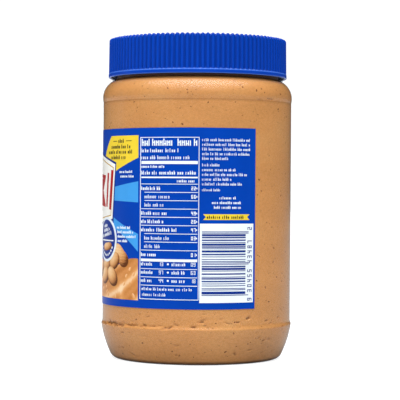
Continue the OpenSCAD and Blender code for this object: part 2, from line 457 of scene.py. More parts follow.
# %% Air pockets
def pocket_list(rng):
    """Rows of (angle, height, half length, half width, bend, tilt, depth) for each air pocket: those of the
    lower part, those along the ledge, most of them on its left, and those near the shoulder."""
    low_count, ledge_count, high_count = 130, 90, 30
    ledge_turn = math.radians(-55)
    count = low_count + ledge_count + high_count
    turn = rng.uniform(-math.pi, math.pi, count)
    height = np.concatenate([
        rng.uniform(3, 27, low_count) * mm,
        ledge_h + rng.normal(1.5, 0.5, ledge_count) * mm,
        rng.uniform(119, 141, high_count) * mm,
    ])
    turn[low_count:low_count + ledge_count] = ledge_turn + rng.normal(0, 0.5, ledge_count)
    length = rng.uniform(0.5, 1.5, count) ** 1.5 * mm
    width = rng.uniform(0.32, 0.5, count) * mm
    bend = rng.uniform(-0.12, 0.12, count) / mm
    tilt = rng.normal(0, 0.35, count)
    depth = rng.uniform(0.3, 0.85, count) * mm
    depth[low_count:] *= 0.75
    return np.column_stack([turn, height, length, width, bend, tilt, depth])


def pocket_depth(turn, height, pockets):
    """Sum over the pockets of depth exp(-(p / length)^4 - (q / width)^2), where (p, q) is the place on the
    wall seen from the pocket, turned by its tilt, and q is measured from the parabola bend p^2."""
    total = np.zeros(np.broadcast(turn, height).shape)
    for centre, middle, length, width, bend, tilt, depth in pockets:
        across = ((turn - centre + math.pi) % (2 * math.pi) - math.pi) * wall_r
        up = height - middle
        p = across * math.cos(tilt) + up * math.sin(tilt)
        q = up * math.cos(tilt) - across * math.sin(tilt) - bend * p ** 2
        total += depth * np.exp(-(p / length) ** 4 - (q / width) ** 2)
    return total


pocket_limit = 0.9 * mm
spread = turned(spread_profile, spread_columns)
spread_turn = np.arctan2(spread[:, :, 0], -spread[:, :, 1])
spread_z = spread[:, :, 2]
pocket = np.minimum(pocket_depth(spread_turn, spread_z, pocket_list(np.random.default_rng(7))), pocket_limit)
pocket *= (spread_profile[:, 0] > foot_x)[:, None] & (spread_profile[:, 1] < neck_z)[:, None]
shrink = 1 - pocket / np.maximum(spread_profile[:, 0], mm)[:, None]
spread[:, :, :2] *= shrink[:, :, None]
print("deepest pocket", round(pocket.max() / mm, 2), "mm")

# %% [markdown]
# Some of the spread is darker than the rest, and the finish has to know where. Two numbers are kept for
# each point. Brown is the depth of the ditches, with a thin line along the crease added: the ditches are
# partly oilier spread and partly painted shade, and the crease line is painted shade. Shade is a darker
# patch low on one side, painted shade over the neck, for the cap's shadow and the thick plastic there,
# and painted shade at the edge of the foot.

# %% Where the spread is brown or in shade
# A darker, dappled patch low on the right of the spread.
def darker_patch(turn, height):
    """A blot exp(-(angle / width)^2 - (height / half height)^2) round its middle, dappled by the product of
    two sine waves that bend each other."""
    middle_turn, middle_z = math.radians(44), 9 * mm
    wide, high = math.radians(20), 9 * mm
    blot = np.exp(-((turn - middle_turn) / wide) ** 2 - ((height - middle_z) / high) ** 2)
    folds = np.sin(turn * 31 + 9 * np.sin(height * 480)) * np.sin(height * 900 + 2 * turn)
    return blot * (0.17 + 0.07 * folds)


def neck_and_foot_shade(height):
    """Painted shade: 1 over the neck and 0.9 at the foot, going down to 0 evenly over a millimetre or two."""
    neck = np.clip((height - neck_z + 0.3 * mm) / (0.8 * mm), 0, 1)
    foot = np.clip(1 - (height - 0.3 * mm) / (1.8 * mm), 0, 1)
    return neck + 0.9 * foot


# Shade is painted shade over the neck and the foot's edge, plus a darker patch. Brown is partly painted
# shade, in the ditches and along the crease.
crease_line_w = 0.45 * mm
shade = np.clip(darker_patch(spread_turn, spread_z) + neck_and_foot_shade(spread_z), 0, 1)
brown = pocket / mm + 0.85 * np.exp(-((spread_z - crease_line_z) / crease_line_w) ** 2)
print("brown up to", round(brown.max(), 2), "shade up to", round(shade.max(), 2))

# %% [markdown]
# The finish is warm tan with soft mottling and a fine grain over it. A mix towards brown follows the first
# of the two numbers and paints shade into the ditches and along the crease, and a mix towards near black
# follows the second, paints the shade over the neck and the foot, and darkens the patch. A little light
# passes under the surface, which softens the ditches.

# %% Spread finish
spread_tan = (0.64, 0.290, 0.090)
spread_finish, spread_shader = finish(
    "spread_finish", Roughness=0.55, Specular_IOR_Level=0.25, Subsurface_Weight=0.12,
    Subsurface_Radius=(1.0, 0.45, 0.2), Subsurface_Scale=1.5 * mm,
)
broad = ramp(
    spread_finish, noise(spread_finish, 28, 4.0, (1, 1, 1.8)),
    (0.32, tinted(spread_tan, 0.92)), (0.5, spread_tan), (0.7, (0.66, 0.32, 0.108)),
)
grain = ramp(
    spread_finish, noise(spread_finish, 800, 3.0, (1, 1, 1.4)),
    (0.36, (0.88, 0.85, 0.80)), (0.58, (1, 1, 1)),
)
grained = add(spread_finish, "Mix", {"data_type": "RGBA", "blend_type": "MULTIPLY"})
grained.inputs["Factor"].default_value = 0.8
wire(spread_finish, (broad, grained.inputs[MIX_A]), (grain, grained.inputs[MIX_B]))
# The brown mix paints shade into the ditches and along the crease.
ditch_shade_value = add(spread_finish, "Attribute", {"attribute_name": "brown"})
ditch_shade_share = add(spread_finish, "MapRange", From_Min=0.10, From_Max=0.7, To_Min=0.0, To_Max=0.75)
painted_ditch_shade = mix_towards(spread_finish, (0.33, 0.130, 0.035))
# The near-black mix paints shade over the neck and the foot's edge, and darkens the patch.
shade_value = add(spread_finish, "Attribute", {"attribute_name": "shade"})
in_shade = mix_towards(spread_finish, (0.055, 0.014, 0.006))
wire(
    spread_finish,
    (ditch_shade_value.outputs["Fac"], ditch_shade_share.inputs["Value"]),
    (ditch_shade_share.outputs[0], painted_ditch_shade.inputs["Factor"]),
    (grained.outputs[MIX_RESULT], painted_ditch_shade.inputs[MIX_A]),
    (painted_ditch_shade.outputs[MIX_RESULT], in_shade.inputs[MIX_A]),
    (shade_value.outputs["Fac"], in_shade.inputs["Factor"]),
    (in_shade.outputs[MIX_RESULT], spread_shader.inputs["Base Color"]),
)
bump(spread_finish, spread_shader, noise(spread_finish, 900, 2.0), 0.15, 0.3 * mm)
print("spread finish")

# %% Spread mesh
spread_quads, spread_fans = ring_faces(*spread.shape[:2])
spread_fill = new_piece("spread_fill", ring_corners(spread), spread_quads, spread_fans, spread_finish)
keep_numbers(spread_fill, "brown", ring_corners(brown[:, :, None])[:, 0])
keep_numbers(spread_fill, "shade", ring_corners(shade[:, :, None])[:, 0])
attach(spread_fill, "root")
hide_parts("peanut_butter")
print("spread_fill", len(spread_fill.data.polygons), "faces")

# %% [markdown]
# Brown flecks of peanut skin lie against the wall. They are too small for the spread's own grid, so each
# is a little flat dome of its own, eight-sided, stretched and turned at random, and laid on the spread
# at the angle of its surface there. How dark a fleck is comes from one more number kept on its corners,
# tone, with noise added to it: where the sum is low a fleck is nearly black, and most are a lighter brown.

# %% Skin flecks
fleck_finish, fleck_shader = finish("fleck_finish", Roughness=0.6, Specular_IOR_Level=0.2)
fleck_tone = add(fleck_finish, "Attribute", {"attribute_name": "tone"})
fleck_grain = add(fleck_finish, "Math", {"operation": "ADD"})
fleck_colour = ramp(
    fleck_finish, fleck_grain.outputs[0],
    (0.4, (0.07, 0.02, 0.007)), (1.0, (0.30, 0.105, 0.03)),
)
wire(
    fleck_finish,
    (fleck_tone.outputs["Fac"], fleck_grain.inputs[0]),
    (noise(fleck_finish, 2500, 1.0), fleck_grain.inputs[1]),
    (fleck_colour, fleck_shader.inputs["Base Color"]),
)


def fleck_mesh(rng, count, profile):
    """Corners, triangles and tones of count closed domes. A dome's rim is eight points (a cos t, b sin t),
    turned by its spin, sunk a little into the spread, and its top stands over the rim's middle. The lean is
    the profile's slope there, radius over height, so the dome lies along the surface."""
    sunk, stands, slope_step = 0.02 * mm, 0.10 * mm, 0.2 * mm
    turn = rng.uniform(-math.pi, math.pi, count)
    heights = rng.uniform(4, 140, count) * mm
    outer = profile[(profile[:, 0] > foot_x) & (profile[:, 1] < neck_z)]
    radius = np.interp(heights, outer[:, 1], outer[:, 0])
    lean = (np.interp(heights + slope_step, outer[:, 1], outer[:, 0]) - radius) / slope_step
    size = 0.17 * mm + 0.36 * mm * rng.random(count) ** 3
    stretch, spin = rng.uniform(1.0, 1.9, count), rng.normal(0, 0.7, count)
    t = np.arange(8) * math.pi / 4
    a = (size * stretch)[:, None] * np.cos(t)
    b = size[:, None] * np.sin(t)
    cosine, sine = np.cos(spin)[:, None], np.sin(spin)[:, None]
    along = np.column_stack([a * cosine - b * sine, np.zeros(count)])
    up = np.column_stack([a * sine + b * cosine, np.zeros(count)])
    rise = np.column_stack([np.full((count, 8), -sunk), np.full(count, stands)])
    reach = radius[:, None] + lean[:, None] * up + rise
    place = turn[:, None] + along / wall_r
    corners = np.stack([reach * np.sin(place), -reach * np.cos(place), heights[:, None] + up], axis=-1)
    first = 9 * np.arange(count)[:, None]
    rim, after = np.arange(8), (np.arange(8) + 1) % 8
    top = np.broadcast_to(first + 8, (count, 8))
    domes = np.stack([first + rim, first + after, top], axis=-1).reshape(-1, 3)
    under = np.concatenate([first + np.array([0, k + 1, k]) for k in range(1, 7)])
    tones = np.repeat(rng.random(count) ** 1.5, 9)
    return corners.reshape(-1, 3), np.concatenate([domes, under]), tones


fleck_count = 1300
fleck_corners, fleck_faces, fleck_tones = fleck_mesh(np.random.default_rng(21), fleck_count, spread_profile)
flecks = new_piece("skin_flecks", fleck_corners, no_quads, fleck_faces, fleck_finish)
keep_numbers(flecks, "tone", fleck_tones)
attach(flecks, "root")
print("skin_flecks", len(flecks.data.polygons), "faces")

# %% [markdown]
# ## The screw cap
# The cap is moulded in one shot: a plain band at the foot, a skirt of fine grip ribs that stand a little
# above the roof at their tips, and a flat roof. It could be a cylinder with ribs copied round it, but then
# the ribs would end in hard corners. Instead two profiles are drawn, one over a rib's crest and one along
# a groove's floor, and the surface blends from one to the other as the angle goes round.

# %% Cap profiles
band_r, skirt_r = cap_high[0], cap_high[0] - 1.4 * mm
crest_low_r, crest_top_r, rib_depth = band_r - 0.1 * mm, band_r - 0.3 * mm, 0.55 * mm
groove_r = crest_top_r - rib_depth
band_h, lip_r, band_edge_r = 2.1 * mm, 0.35 * mm, 0.28 * mm
tip_h, crest_edge_r, groove_edge_r = 0.5 * mm, 0.6 * mm, 1.2 * mm
ring_rise, ring_out, ring_in = 0.35 * mm, 0.84 * band_r, 0.825 * band_r
dimple_out, dimple_in = 3.0 * mm, 2.4 * mm
roof_z = top_z - tip_h
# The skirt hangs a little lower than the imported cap's, and stays clear of the shoulder and carrying ring.
skirt_drop = 0.5 * mm
skirt_z = cap_z - skirt_drop
band_z = skirt_z + band_h


def resampled(profile, count):
    """The profile with count points at equal steps of its own length."""
    length = np.concatenate([[0], np.cumsum(np.hypot(*np.diff(profile, axis=0).T))])
    even = np.linspace(0, length[-1], count)
    return np.column_stack([np.interp(even, length, profile[:, k]) for k in range(2)])


cap_inside = chain(
    line((0, rim_z), (skirt_r - 0.4 * mm, rim_z), 4),
    line((skirt_r, rim_z - 0.4 * mm), (skirt_r, skirt_z + lip_r), 5),
    arc((skirt_r + lip_r, skirt_z + lip_r), lip_r, 180, 270),
)
cap_band = chain(
    arc((band_r - lip_r, skirt_z + lip_r), lip_r, 270, 360),
    line((band_r, skirt_z + lip_r), (band_r - 0.02 * mm, band_z - 0.3 * mm), 3),
    arc((band_r - 0.3 * mm, band_z - 0.3 * mm), band_edge_r, 0, 70),
)
cap_roof = chain(
    line((groove_r - 2.2 * mm, roof_z), (ring_out, roof_z), 4),
    line((ring_out, roof_z), (ring_in, roof_z - ring_rise), 3),
    line((ring_in, roof_z - ring_rise), (dimple_out, roof_z - ring_rise), 8),
    line((dimple_out, roof_z - ring_rise), (dimple_in, roof_z - 2 * ring_rise), 2),
    line((dimple_in, roof_z - 2 * ring_rise), (0, roof_z - 2 * ring_rise), 2),
)
rib_rows = 34
crest_path = resampled(chain(
    [cap_band[-1]],
    [(crest_low_r, band_z + 0.15 * mm), (crest_top_r, top_z - crest_edge_r)],
    arc((crest_top_r - crest_edge_r, top_z - crest_edge_r), crest_edge_r, 0, 90),
    arc((groove_r - 0.5 * mm, top_z - 0.25 * mm), 0.25 * mm, 90, 150),
    [(groove_r - 1.3 * mm, roof_z), cap_roof[0]],
), rib_rows)
floor_path = resampled(chain(
    [cap_band[-1]],
    [(groove_r, band_z + 0.35 * mm), (groove_r, roof_z - groove_edge_r)],
    arc((groove_r - groove_edge_r, roof_z - groove_edge_r), groove_edge_r, 0, 90),
    [cap_roof[0]],
), rib_rows)
print("cap rows", len(cap_inside) + len(cap_band) + len(cap_roof) + rib_rows)

# %% [markdown]
# The crest's share of the surface is a smooth wave of the angle: 1 over the middle of a rib, 0 over the
# middle of a groove, with a soft slope between. Moulds wear unevenly, so each rib's height differs by a
# few hundredths of a millimetre, which is what makes light run unevenly along the skirt.

# %% Cap surface
rib_count, columns_per_rib = 112, 9
cap_turn = np.linspace(0, rib_count, rib_count * columns_per_rib, endpoint=False)
from_crest = np.abs(cap_turn - np.round(cap_turn)) * 2
crest_half, groove_from = 0.30, 0.80
slope = np.clip((from_crest - crest_half) / (groove_from - crest_half), 0, 1)
crest_share = 1 - slope ** 2 * (3 - 2 * slope)
rib_worn = 1 - 0.12 * np.random.default_rng(3).random(rib_count)[np.round(cap_turn).astype(int) % rib_count]
crest_share = crest_share * rib_worn
crest_rows = np.concatenate([cap_inside, cap_band[1:], crest_path[1:], cap_roof[1:]])
floor_rows = np.concatenate([cap_inside, cap_band[1:], floor_path[1:], cap_roof[1:]])
cap_profile = floor_rows[:, None] + crest_share[None, :, None] * (crest_rows - floor_rows)[:, None]
cap_angle = cap_turn * 2 * math.pi / rib_count
cap_points = np.stack([
    cap_profile[:, :, 0] * np.cos(cap_angle), cap_profile[:, :, 0] * np.sin(cap_angle), cap_profile[:, :, 1],
], axis=-1)
print("cap of", cap_points.shape[0], "rows and", cap_points.shape[1], "columns")

# %% [markdown]
# Two thin lines get a painted highlight, mixed in as a paler blue: the lip at the very foot, a painted
# reflection of the floor, and the band's upper edge, a painted highlight of the lamp above. Both lie at a
# known height, so the finish measures each point's height. The grooves between the ribs get painted shade,
# a little darker, by one more number kept on the corners.

# %% Cap finish
cap_blue = (0.0004, 0.050, 0.45)
cap_finish, cap_shader = finish("cap_finish", Roughness=0.3, Specular_IOR_Level=0.16)
cap_tone = ramp(
    cap_finish, noise(cap_finish, 45, 3.0, (1, 1, 0.5)),
    (0.3, tinted(cap_blue, 0.9)), (0.7, tinted(cap_blue, 1.08)),
)
cap_place = add(cap_finish, "TexCoord")
cap_height = add(cap_finish, "SeparateXYZ")
# Painted highlights: a paler line along the lip and another along the band's upper edge.
lip_highlight = add(cap_finish, "MapRange", From_Min=skirt_z + 0.45 * mm, From_Max=skirt_z + 0.1 * mm, To_Max=0.5)
band_highlight = add(cap_finish, "MapRange", From_Min=0.45 * mm, From_Max=0.15 * mm, To_Max=0.45)
from_line = add(cap_finish, "Math", {"operation": "SUBTRACT"})
from_line.inputs[1].default_value = band_z - 0.1 * mm
line_reach = add(cap_finish, "Math", {"operation": "ABSOLUTE"})
painted_highlight = add(cap_finish, "Math", {"operation": "MAXIMUM"})
# Painted shade: the grooves between the ribs are mixed a little darker.
groove_shade_value = add(cap_finish, "Attribute", {"attribute_name": "groove"})
painted_groove_shade = mix_towards(cap_finish, tinted(cap_blue, 0.68))
cap_highlighted = mix_towards(cap_finish, (0.10, 0.27, 0.85))
wire(
    cap_finish,
    (cap_place.outputs["Object"], cap_height.inputs[0]),
    (cap_height.outputs["Z"], lip_highlight.inputs["Value"]),
    (cap_height.outputs["Z"], from_line.inputs[0]),
    (from_line.outputs[0], line_reach.inputs[0]),
    (line_reach.outputs[0], band_highlight.inputs["Value"]),
    (lip_highlight.outputs[0], painted_highlight.inputs[0]),
    (band_highlight.outputs[0], painted_highlight.inputs[1]),
    (painted_highlight.outputs[0], cap_highlighted.inputs["Factor"]),
    (groove_shade_value.outputs["Fac"], painted_groove_shade.inputs["Factor"]),
    (cap_tone, painted_groove_shade.inputs[MIX_A]),
    (painted_groove_shade.outputs[MIX_RESULT], cap_highlighted.inputs[MIX_A]),
    (cap_highlighted.outputs[MIX_RESULT], cap_shader.inputs["Base Color"]),
)
bump(cap_finish, cap_shader, noise(cap_finish, 1600, 2.0), 0.12, 0.2 * mm)
print("cap finish")

# %% Cap piece
cap_quads, cap_fans = ring_faces(*cap_points.shape[:2])
screw_cap = new_piece("screw_cap", ring_corners(cap_points), cap_quads, cap_fans, cap_finish, sharp=50)
on_ribs = (np.hypot(*(crest_rows - floor_rows).T) > 0.3 * mm)[:, None, None]
# The groove number carries the painted shade between the ribs.
keep_numbers(screw_cap, "groove", ring_corners(on_ribs * (1 - crest_share)[None, :, None])[:, 0])
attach(screw_cap, "root")
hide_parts("cap")
print("screw_cap", len(screw_cap.data.polygons), "faces")

# %% [markdown]
# ## The wrap label
# The label is a printed plastic film wrapped round the wall, with its ends glued down a little apart. A
# point on it is named by u, the length along the wall from the middle of the back panel, and by its
# height z. Wrapping is then one line: the angle is u divided by the radius. The film is a thin closed slab
# wrapped in that way, and its own colour is the print's deep blue ground.

# %% Label sheet
def on_wall(u, z, reach):
    """The point at length u along the wall and height z: the angle u / label_r is counted from -Y to +X."""
    turn = u / label_r
    return np.stack([reach * np.sin(turn), -reach * np.cos(turn), z + 0 * turn], axis=-1)


def ink_finish(name, colour):
    """A printed colour: almost even, with the faint cloudiness of ink on film, under a soft gloss."""
    material, shader = finish(name, Roughness=0.32, Specular_IOR_Level=0.05)
    tone = ramp(
        material, noise(material, 90, 3.0),
        (0.35, tinted(colour, 0.96)), (0.65, tinted(colour, 1.03)),
    )
    wire(material, (tone, shader.inputs["Base Color"]))
    bump(material, shader, noise(material, 55, 2.0, (1, 1, 0.5)), 0.12, 0.4 * mm)
    return material


label_blue = (0.0006, 0.052, 0.42)
label_columns = 420
sheet_u, sheet_z = np.meshgrid(
    np.linspace(label_left, label_right, label_columns), np.linspace(label_z, label_top, 13),
)
sheet_corners, sheet_quads = slab(on_wall(sheet_u, sheet_z, label_r), on_wall(sheet_u, sheet_z, wall_r))
blue_film = ink_finish("blue_film", label_blue)
label_sheet = new_piece("label_sheet", sheet_corners, sheet_quads, no_triangles, blue_film)
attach(label_sheet, "root")
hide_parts("label")
print("label_sheet", len(label_sheet.data.polygons), "faces")

# %% [markdown]
# ## Printing in layers
# The print is made the way a press makes it: one ink after another, each a set of flat patches a few
# hundredths of a millimetre thick on the one before. A patch is the space between a low curve and a high
# curve over a stretch of u, so bars, arches, discs, wedges and ribbons are all the same function. It can
# be turned and moved before it is wrapped. A patch that is wide is cut into columns, because a long flat
# face would cut the corner under the round wall and sink below the ink beneath it.

# %% Patches of ink
ink_t, ink_sunk, widest_column = 0.028 * mm, 0.02 * mm, 1.4 * mm


class Ink:
    """Collects patches and makes them one piece."""

    def __init__(self, name, material, layer):
        self.name, self.material, self.layer = name, material, layer
        self.corners, self.quads, self.values, self.count = [], [], [], 0

    def patch(self, p, low, high, place=(0, 0), tilt=0.0, rows=1, value=None):
        """The grid between low(p) and high(p), in mm, turned by tilt degrees, moved to place and wrapped.
        value is a function of the grid's own p and q that tells the finish how light each point is."""
        q = low + np.linspace(0, 1, rows + 1)[:, None] * (high - low)
        p = p + 0 * q
        turn = math.radians(tilt)
        u = (place[0] + p * math.cos(turn) - q * math.sin(turn)) * mm
        z = (place[1] + p * math.sin(turn) + q * math.cos(turn)) * mm
        front = on_wall(u, z, label_r + ink_t * self.layer)
        corners, quads = slab(front, on_wall(u, z, label_r - ink_sunk))
        light = np.ones(p.shape) if value is None else value(p, q)
        self.corners.append(corners)
        self.quads.append(quads + self.count)
        self.values.append(np.concatenate([light.ravel(), light.ravel()]))
        self.count += len(corners)

    def bar(self, left, right, low, high, **where):
        """A rectangle in as many columns as its width needs to follow the wall."""
        columns = max(1, math.ceil((right - left) * mm / widest_column))
        p = np.linspace(left, right, columns + 1)
        self.patch(p, np.full(p.shape, low), np.full(p.shape, high), **where)

    def oval(self, half_p, half_q, place, tilt=0.0, waist=0.0, columns=28, rows=1, value=None):
        """The space between q = -h(p) and q = h(p), h = half_q sqrt(1 - s^2) (1 - waist (1 - s^2)^3) for
        s = p / half_p: an ellipse, or with a waist the outline of a peanut in its shell."""
        s = np.sin(np.linspace(-0.995, 0.995, columns + 1) * math.pi / 2)
        h = half_q * np.sqrt(1 - s ** 2) * (1 - waist * (1 - s ** 2) ** 3)
        self.patch(half_p * s, -h, h, place=place, tilt=tilt, rows=rows, value=value)

    def build(self):
        """Makes the piece, with the lightness kept as an attribute."""
        corners, quads = np.concatenate(self.corners), np.concatenate(self.quads)
        piece = new_piece(self.name, corners, quads, no_triangles, self.material)
        keep_numbers(piece, "light", np.concatenate(self.values))
        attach(piece, "root")
        print(self.name, len(quads), "faces")


white_ink = Ink("white_ink", ink_finish("white_print", (0.86, 0.94, 0.97)), 5)
navy_ink = Ink("navy_ink", ink_finish("navy_print", (0.008, 0.035, 0.24)), 7)
dark_ink = Ink("dark_ink", ink_finish("dark_print", (0.03, 0.03, 0.02)), 4)
yellow_ink = Ink("yellow_ink", ink_finish("yellow_print", (0.86, 0.64, 0.045)), 2)
sky_ink = Ink("sky_ink", ink_finish("sky_print", (0.055, 0.34, 0.80)), 1)
print("inks ready")

# %% [markdown]
# ## Words that can't be read
# From arm's length a line of small print is a grey band with a rhythm: uprights at an even pitch, some
# taller than the rest, gathered into words. That rhythm is all that is drawn. Each sign is one or two
# uprights and a short tie between them, picked by a seeded random generator, so the print is the same on
# every run, and none of it can be read. Plain figures are drawn with seven straight strokes, as on a
# counter, and the figures are random too.

# %% Greeked words and plain figures
FIGURES = ["abcdef", "bc", "abged", "abgcd", "fgbc", "afgcd", "afgedc", "abc", "abcdefg", "abcdfg"]


def stroke(ink, place, tilt, p0, p1, q0, q1):
    """One straight stroke of a sign: a rectangle in the sign's own frame, turned and moved with it."""
    ink.patch(np.array([p0, p1]), np.array([q0, q0]), np.array([q1, q1]), place=place, tilt=tilt)


def along(place, tilt, distance):
    """The place that lies the distance further on along a line of signs."""
    turn = math.radians(tilt)
    return place[0] + distance * math.cos(turn), place[1] + distance * math.sin(turn)


def figure(ink, number, place, height, tilt=0.0, weight=0.13):
    """A plain figure: a to g are the top, the two right, the bottom, the two left and the middle stroke."""
    w, t = 0.52 * height, weight * height
    half = (height + t) / 2
    strokes = {
        "a": (0, w, height - t, height), "b": (w - t, w, half - t, height), "c": (w - t, w, 0, half),
        "d": (0, w, 0, t), "e": (0, t, 0, half), "f": (0, t, half - t, height), "g": (0, w, half - t, half),
    }
    for name in FIGURES[number]:
        stroke(ink, place, tilt, *strokes[name])


def figures(ink, numbers, place, height, tilt=0.0, pitch=0.72, weight=0.13):
    """A row of plain figures, pitch times their height apart."""
    for k, number in enumerate(numbers):
        figure(ink, number, along(place, tilt, k * pitch * height), height, tilt, weight)


def words(ink, rng, left, right, z, height, tilt=0.0, pitch=0.56, weight=0.15):
    """A line of greeked words from left to right, standing on z. Each sign has an upright, one in three as
    tall as the line, then often a shorter one, and a short tie at the foot, a third up or half-way up."""
    start, step, t = (left, z), pitch * height, weight * height
    reach, word_left = 0.0, int(rng.integers(3, 9))
    while reach + 0.8 * step < right - left:
        place = along(start, tilt, reach)
        first = height * (1.0 if rng.random() < 0.34 else 0.7)
        wide = rng.uniform(0.55, 0.72) * step
        stroke(ink, place, tilt, 0, t, 0, first)
        if rng.random() < 0.72:
            stroke(ink, place, tilt, wide - 0.8 * t, wide, 0.06 * height, 0.66 * height)
        tie = height * rng.choice([0.05, 0.3, 0.52])
        stroke(ink, place, tilt, t, wide - 0.8 * t, tie, tie + 0.7 * t)
        word_left -= 1
        reach += step
        if word_left == 0:
            reach += 0.75 * step
            word_left = int(rng.integers(2, 9))


def paragraph(ink, rng, spans, top, leading, height, **style):
    """Lines of words under one another. Each span is a line's (left, right), and leading is the step down."""
    for k, (left, right) in enumerate(spans):
        words(ink, rng, left, right, top - k * leading, height, **style)


rng = np.random.default_rng(11)
print("signs ready")

# %% [markdown]
# ## The back panel's table
# The panel in the middle of the view is a table in a thin frame: a heavy heading, then ruled rows, each
# with a name at the left and a value at the right, and heavier bars between the groups. Its rows follow
# one another from the top down, so a loop walks down the list of row kinds.

# %% Table frame and heading
# From here on the label's lengths and heights are in millimetres, as the ink's functions take them.
table_left, table_right, table_top, table_low = -29.6, 1.2, 112.2, 32.6
frame_t, rule_t, margin = 0.3, 0.28, 0.7
inner_left, inner_right = table_left + margin, table_right - margin
white_ink.bar(table_left, table_left + frame_t, table_low, table_top)
white_ink.bar(table_right - frame_t, table_right, table_low, table_top)
white_ink.bar(table_left + frame_t, table_right - frame_t, table_top - frame_t, table_top)
white_ink.bar(table_left + frame_t, table_right - frame_t, table_low, table_low + frame_t)


def heading(ink, rng, left, right, z, height, word_sizes):
    """A bold heading that says nothing: each word starts with a tall heavy upright, and lower signs follow,
    now and then a tall one again. Most have a second upright and a tie, one fifth or two fifths up."""
    step = (right - left) / (sum(word_sizes) + 0.6 * (len(word_sizes) - 1))
    reach, thick = left, 0.27 * step
    for size in word_sizes:
        for k in range(size):
            tall = height if k == 0 or rng.random() < 0.2 else 0.74 * height
            stroke(ink, (reach, z), 0, 0, thick, 0, tall)
            if rng.random() < 0.85:
                stroke(ink, (reach, z), 0, 0.54 * step, 0.54 * step + thick, 0, min(tall, 0.74 * height))
                tie = height * rng.choice([0.2, 0.42])
                stroke(ink, (reach, z), 0, thick, 0.54 * step, tie, tie + 0.16 * height)
            reach += step
        reach += 0.6 * step


heading(white_ink, rng, inner_left + 0.1, inner_right, 107.9, 3.5, (9, 5))
# Each line under the heading: its left end, its right end, its foot, its height and its weight.
heading_lines = [
    (inner_left, inner_right - 8.8, 104.7, 1.9, 0.15),
    (inner_left, inner_right - 3.2, 101.3, 1.9, 0.15),
    (inner_left, inner_right - 16.0, 97.1, 1.4, 0.20),
    (inner_left, inner_right - 0.6, 93.8, 1.9, 0.18),
    (inner_right - 10.2, inner_right, 90.0, 1.5, 0.20),
]
for left, right, z, height, weight in heading_lines:
    words(white_ink, rng, left, right, z, height, weight=weight)
thick_bars = ((99.0, 100.5), (92.1, 92.8), (51.2, 52.5))
for low, high in thick_bars:
    white_ink.bar(inner_left, inner_right, low, high)
print("table heading of", 1 + len(heading_lines), "lines")

# %% Table rows
row_text, row_pitch, indent = 1.8, 4.06, 2.0
first_rule_z, text_drop, value_w = 89.2, 3.0, 3.1
# Each row: how far its words reach, whether they are set in and set lighter, and whether it has a value.
rows = [
    (11.5, False, True), (16.0, True, True), (13.0, True, False), (15.0, False, True), (13.0, False, True),
    (20.0, False, True), (15.5, True, True), (11.0, True, False), (9.5, False, True),
]
for k, (reach, set_in, valued) in enumerate(rows):
    rule_z = first_rule_z - k * row_pitch
    left = inner_left + (indent if set_in else 0)
    white_ink.bar(left, inner_right, rule_z - rule_t / 2, rule_z + rule_t / 2)
    base = rule_z - text_drop
    words(white_ink, rng, left, inner_left + reach, base, row_text, weight=0.13 if set_in else 0.19)
    if valued:
        figures(white_ink, rng.integers(0, 10, 2), (inner_right - value_w, base), row_text, weight=0.18)
        white_ink.oval(0.28, 0.45, (inner_right - 0.4, base + row_text / 2), columns=8)
print(len(rows), "table rows")

# %% Rows of two halves, and the note at the foot
half_rows, half_row_top, rule_drop = 3, 49.1, 1.5
for k in range(half_rows):
    base = half_row_top - k * row_pitch
    rule_z = base - rule_drop
    words(white_ink, rng, inner_left, inner_left + 7.5, base, row_text)
    figures(white_ink, rng.integers(0, 10, 2), (inner_left + 10.2, base), row_text)
    white_ink.oval(0.5, 0.5, (inner_left + 14.9, base + row_text / 2), columns=10)
    words(white_ink, rng, inner_left + 16.8, inner_left + 24.0, base, row_text)
    figures(white_ink, rng.integers(0, 10, 2), (inner_right - value_w, base), row_text)
    white_ink.bar(inner_left, inner_right, rule_z - rule_t / 2, rule_z + rule_t / 2)
note_spans = [(inner_left + 0.6, inner_right - 2.4), (inner_left + 0.9, inner_left + 14.0)]
paragraph(white_ink, rng, note_spans, 37.0, 2.8, 1.5)
print(half_rows, "rows of two halves")

# %% [markdown]
# ## The right-hand column
# Beside the table stand small paragraphs, a yellow ribbon with notched ends, and a white box for a bar
# code that lies on its side. The bar code is made of modules, equal thin steps: each is ink or paper, by
# the seeded generator, between the usual guard bars at both ends and in the middle.

# %% Paragraphs and ribbon
text_left, text_middle, leading = 2.6, 15.5, 2.32
first_text = [(text_left, right) for right in (28.2, 28.2, 28.2, 28.2, 16.2)]
second_text = [(text_left, right) for right in (12.5, 20.0, 26.2, 17.8, 23.2)]
paragraph(white_ink, rng, first_text, 110.2, 2.28, 1.45, pitch=0.58)
paragraph(white_ink, rng, second_text, 97.9, leading, 1.45)
words(white_ink, rng, text_left, 12.0, 85.8, 1.3)
centred = [(text_middle - half, text_middle + half) for half in (4.3, 8.0, 7.0)]
paragraph(white_ink, rng, centred, 81.9, leading, 1.4, pitch=0.58, weight=0.2)
ribbon_left, ribbon_right, ribbon_low, ribbon_high, notch = 3.4, 27.3, 71.8, 74.6, 0.9
ribbon_p = np.linspace(ribbon_left, ribbon_right, 20)
ribbon_middle = (ribbon_low + ribbon_high) / 2
edge_share = np.clip(np.minimum(ribbon_p - ribbon_left, ribbon_right - ribbon_p) / notch, 0, 1)
half_gap = (1 - edge_share) * (ribbon_high - ribbon_low) / 2 * 0.85
yellow_ink.patch(ribbon_p, ribbon_middle + half_gap, np.full(20, ribbon_high))
yellow_ink.patch(ribbon_p, np.full(20, ribbon_low), ribbon_middle - half_gap)
words(dark_ink, rng, 5.0, 25.8, 72.4, 1.6, pitch=0.62, weight=0.25)
print("ribbon", round(ribbon_right - ribbon_left, 1), "mm long")

